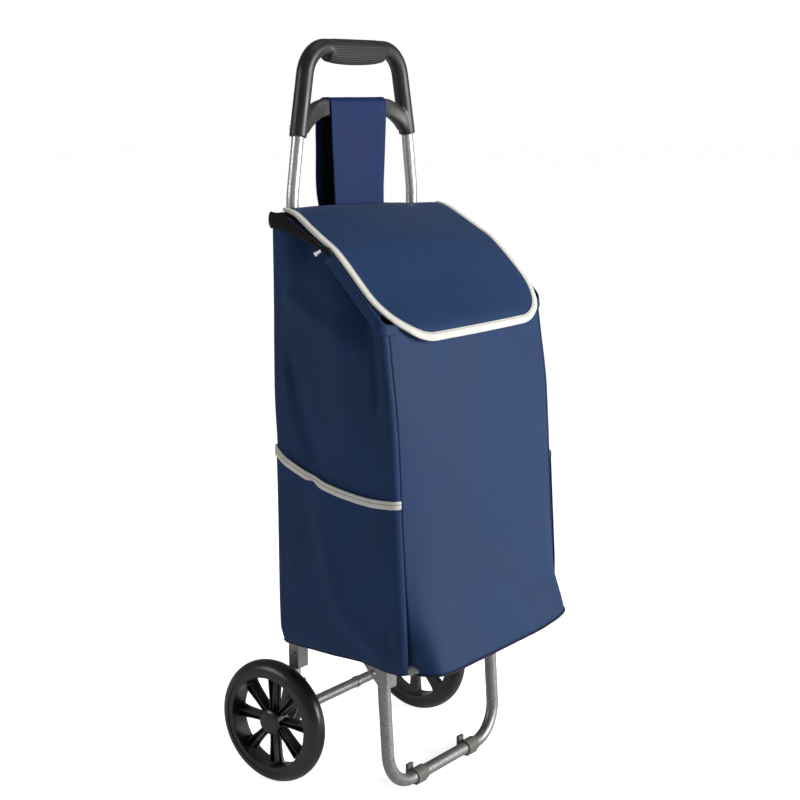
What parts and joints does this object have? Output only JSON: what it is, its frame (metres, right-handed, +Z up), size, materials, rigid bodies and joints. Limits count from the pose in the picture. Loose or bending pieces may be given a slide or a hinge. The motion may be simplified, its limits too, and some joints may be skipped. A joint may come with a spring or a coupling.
{
  "type": "shopping trolley",
  "caption": "Two-wheeled folding shopping trolley with a soft flap-topped bag, moulded loop handle, hinged base and U-shaped support leg.",
  "frame": {"origin": "on the floor under the middle of the trolley's bounding box", "axes": "+Z up, -Y towards the front of the bag, +X to the right seen from the front"},
  "size_m": [0.3594, 0.3345, 0.934],
  "materials": {
    "frame_grey": "hammertone lacquer",
    "zinc_steel": "zinc plated",
    "handle_black": "satin moulding",
    "grip_rubber": "fine texture",
    "tyre_black": "smooth gloss",
    "rim_black": "satin moulding",
    "bush_nylon": "natural nylon",
    "clip_plastic": "satin moulding",
    "bag_navy": "coated plain-weave polyester",
    "binding_grey": "woven tape",
    "collar_black": "thin woven lining",
    "cord_white": "braided cord",
    "stop_white": "moulded",
    "board_black": "sheet"
  },
  "bodies": {
    "frame": {"upright_left": "frame_grey", "upright_right": "frame_grey", "lower_cross_tube": "frame_grey", "upper_cross_tube": "frame_grey", "handle": "handle_black", "grip_pad": "grip_rubber", "handle_screws": "zinc_steel", "axle_tube": "frame_grey", "axle_rod": "zinc_steel", "axle_washers": "zinc_steel", "push_nuts": "zinc_steel", "axle_bracket_left": "frame_grey", "axle_bracket_right": "frame_grey", "hinge_bracket_left": "frame_grey", "hinge_bracket_right": "frame_grey", "base_pivot_rivets": "zinc_steel", "bag_body": "bag_navy", "base_board": "board_black", "mouth_collar": "collar_black", "drawstring": "cord_white", "cord_stop": "stop_white", "side_pocket_left": "bag_navy", "side_pocket_right": "bag_navy", "pocket_binding_left": "binding_grey", "pocket_binding_right": "binding_grey", "handle_strap": "bag_navy", "rear_loops": "bag_navy"},
    "flap": {"flap": "bag_navy", "flap_binding": "binding_grey"},
    "base": {"rail_left": "frame_grey", "rail_right": "frame_grey", "front_bow": "frame_grey", "cross_wires": "frame_grey", "leg_gusset_left": "frame_grey", "leg_gusset_right": "frame_grey", "leg_pivot_rivets": "zinc_steel"},
    "leg": {"leg_tube": "frame_grey", "foot_clip_left": "clip_plastic", "foot_clip_right": "clip_plastic"},
    "wheel_left": {"tyre_left": "tyre_black", "rim_left": "rim_black", "hub_cap_left": "rim_black", "wheel_bushes_left": "bush_nylon"},
    "wheel_right": {"tyre_right": "tyre_black", "rim_right": "rim_black", "hub_cap_right": "rim_black", "wheel_bushes_right": "bush_nylon"}
  },
  "joints": [
    {"name": "wheel_left_spin", "type": "hinge", "parent": "frame", "child": "wheel_left", "pos_m": [-0.1585, 0.087, 0.08], "axis": [1, 0, 0], "continuous": true},
    {"name": "wheel_right_spin", "type": "hinge", "parent": "frame", "child": "wheel_right", "pos_m": [0.1585, 0.087, 0.08], "axis": [1, 0, 0], "continuous": true},
    {"name": "flap_open", "type": "hinge", "parent": "frame", "child": "flap", "pos_m": [0, 0.056, 0.728], "axis": [-1, 0, 0], "range_deg": [0, 100]},
    {"name": "base_fold", "type": "hinge", "parent": "frame", "child": "base", "pos_m": [0, 0.03, 0.193], "axis": [-1, 0, 0], "range_deg": [0, 85], "deforming": ["bag_body", "base_board", "mouth_collar", "drawstring", "cord_stop", "side_pocket_left", "side_pocket_right", "pocket_binding_left", "pocket_binding_right", "rear_loops"]},
    {"name": "leg_fold", "type": "hinge", "parent": "base", "child": "leg", "pos_m": [0, -0.0585, 0.174], "axis": [-1, 0, 0], "range_deg": [-85, 0]}
  ],
  "couplings": [
    {"joint": "leg_fold", "follows": "base_fold", "ratio": -1}
  ]
}
